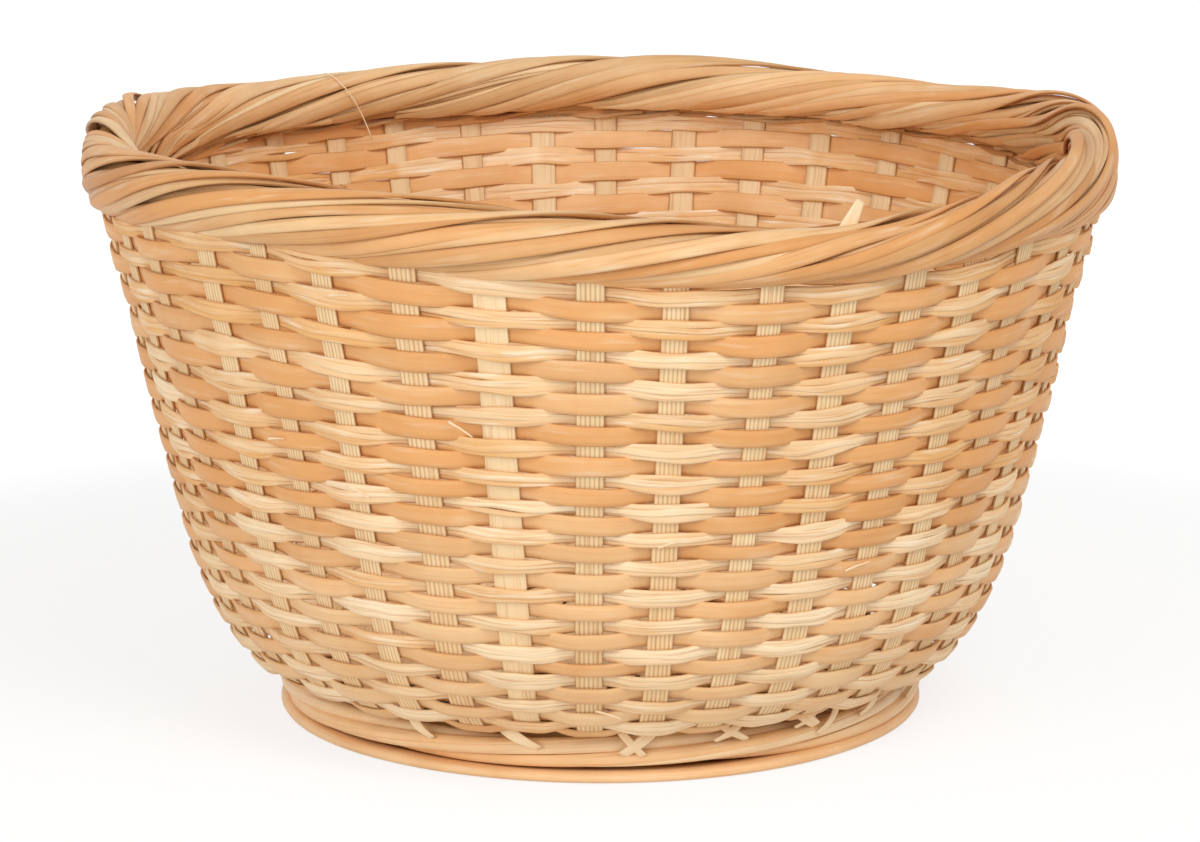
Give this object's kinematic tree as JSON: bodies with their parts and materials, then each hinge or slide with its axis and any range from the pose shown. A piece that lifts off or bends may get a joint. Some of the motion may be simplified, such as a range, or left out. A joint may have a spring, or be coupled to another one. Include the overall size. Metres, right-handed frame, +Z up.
{
  "type": "woven basket",
  "caption": "Round open basket of flat splints in a chase weave, with a rolled border and a low ring foot.",
  "frame": {"origin": "centre of the foot's underside, on the surface that the basket stands on", "axes": "+Z up along the basket's axis; -Y is the side that faces the picture's camera, +X its right"},
  "size_m": [0.299, 0.2992, 0.1699],
  "materials": {
    "splint": "pale split cane with fine grooves along it, unvarnished",
    "wide_weaver": "honey-coloured flat cane, smooth with a soft sheen",
    "narrow_weaver": "pale fibrous cane, matt",
    "border_strip": "smooth cane strips, honey to cream, soft sheen",
    "border_core": "darker matt cane inside the roll",
    "foot_strip": "smooth honey cane strips, soft sheen"
  },
  "bodies": {
    "root": {"border_core": "border_core", "border_strip_01": "border_strip", "border_strip_02": "border_strip", "border_strip_03": "border_strip", "border_strip_04": "border_strip", "border_strip_05": "border_strip", "border_strip_06": "border_strip", "border_strip_07": "border_strip", "border_strip_08": "border_strip", "border_strip_09": "border_strip", "border_strip_10": "border_strip", "border_strip_11": "border_strip", "border_strip_12": "border_strip", "border_strip_13": "border_strip", "border_strip_14": "border_strip", "border_strip_15": "border_strip", "border_strip_16": "border_strip", "border_strip_17": "border_strip", "border_strip_18": "border_strip", "border_strip_19": "border_strip", "foot_band": "foot_strip", "foot_hoop": "foot_strip", "foot_strand_1": "foot_strip", "foot_strand_2": "foot_strip", "foot_strand_3": "foot_strip", "narrow_weaver_1": "narrow_weaver", "narrow_weaver_2": "narrow_weaver", "narrow_weaver_3": "narrow_weaver", "narrow_weaver_4": "narrow_weaver", "narrow_weaver_5": "narrow_weaver", "narrow_weaver_6": "narrow_weaver", "narrow_weaver_7": "narrow_weaver", "narrow_weaver_8": "narrow_weaver", "splint_01": "splint", "splint_02": "splint", "splint_03": "splint", "splint_04": "splint", "splint_05": "splint", "splint_06": "splint", "splint_07": "splint", "splint_08": "splint", "splint_09": "splint", "splint_10": "splint", "splint_11": "splint", "splint_12": "splint", "splint_13": "splint", "splint_14": "splint", "splint_15": "splint", "splint_16": "splint", "splint_17": "splint", "splint_18": "splint", "splint_19": "splint", "wide_weaver_1": "wide_weaver", "wide_weaver_2": "wide_weaver", "wide_weaver_3": "wide_weaver", "wide_weaver_4": "wide_weaver", "wide_weaver_5": "wide_weaver", "wide_weaver_6": "wide_weaver", "wide_weaver_7": "wide_weaver", "wide_weaver_8": "wide_weaver"}
  },
  "joints": []
}
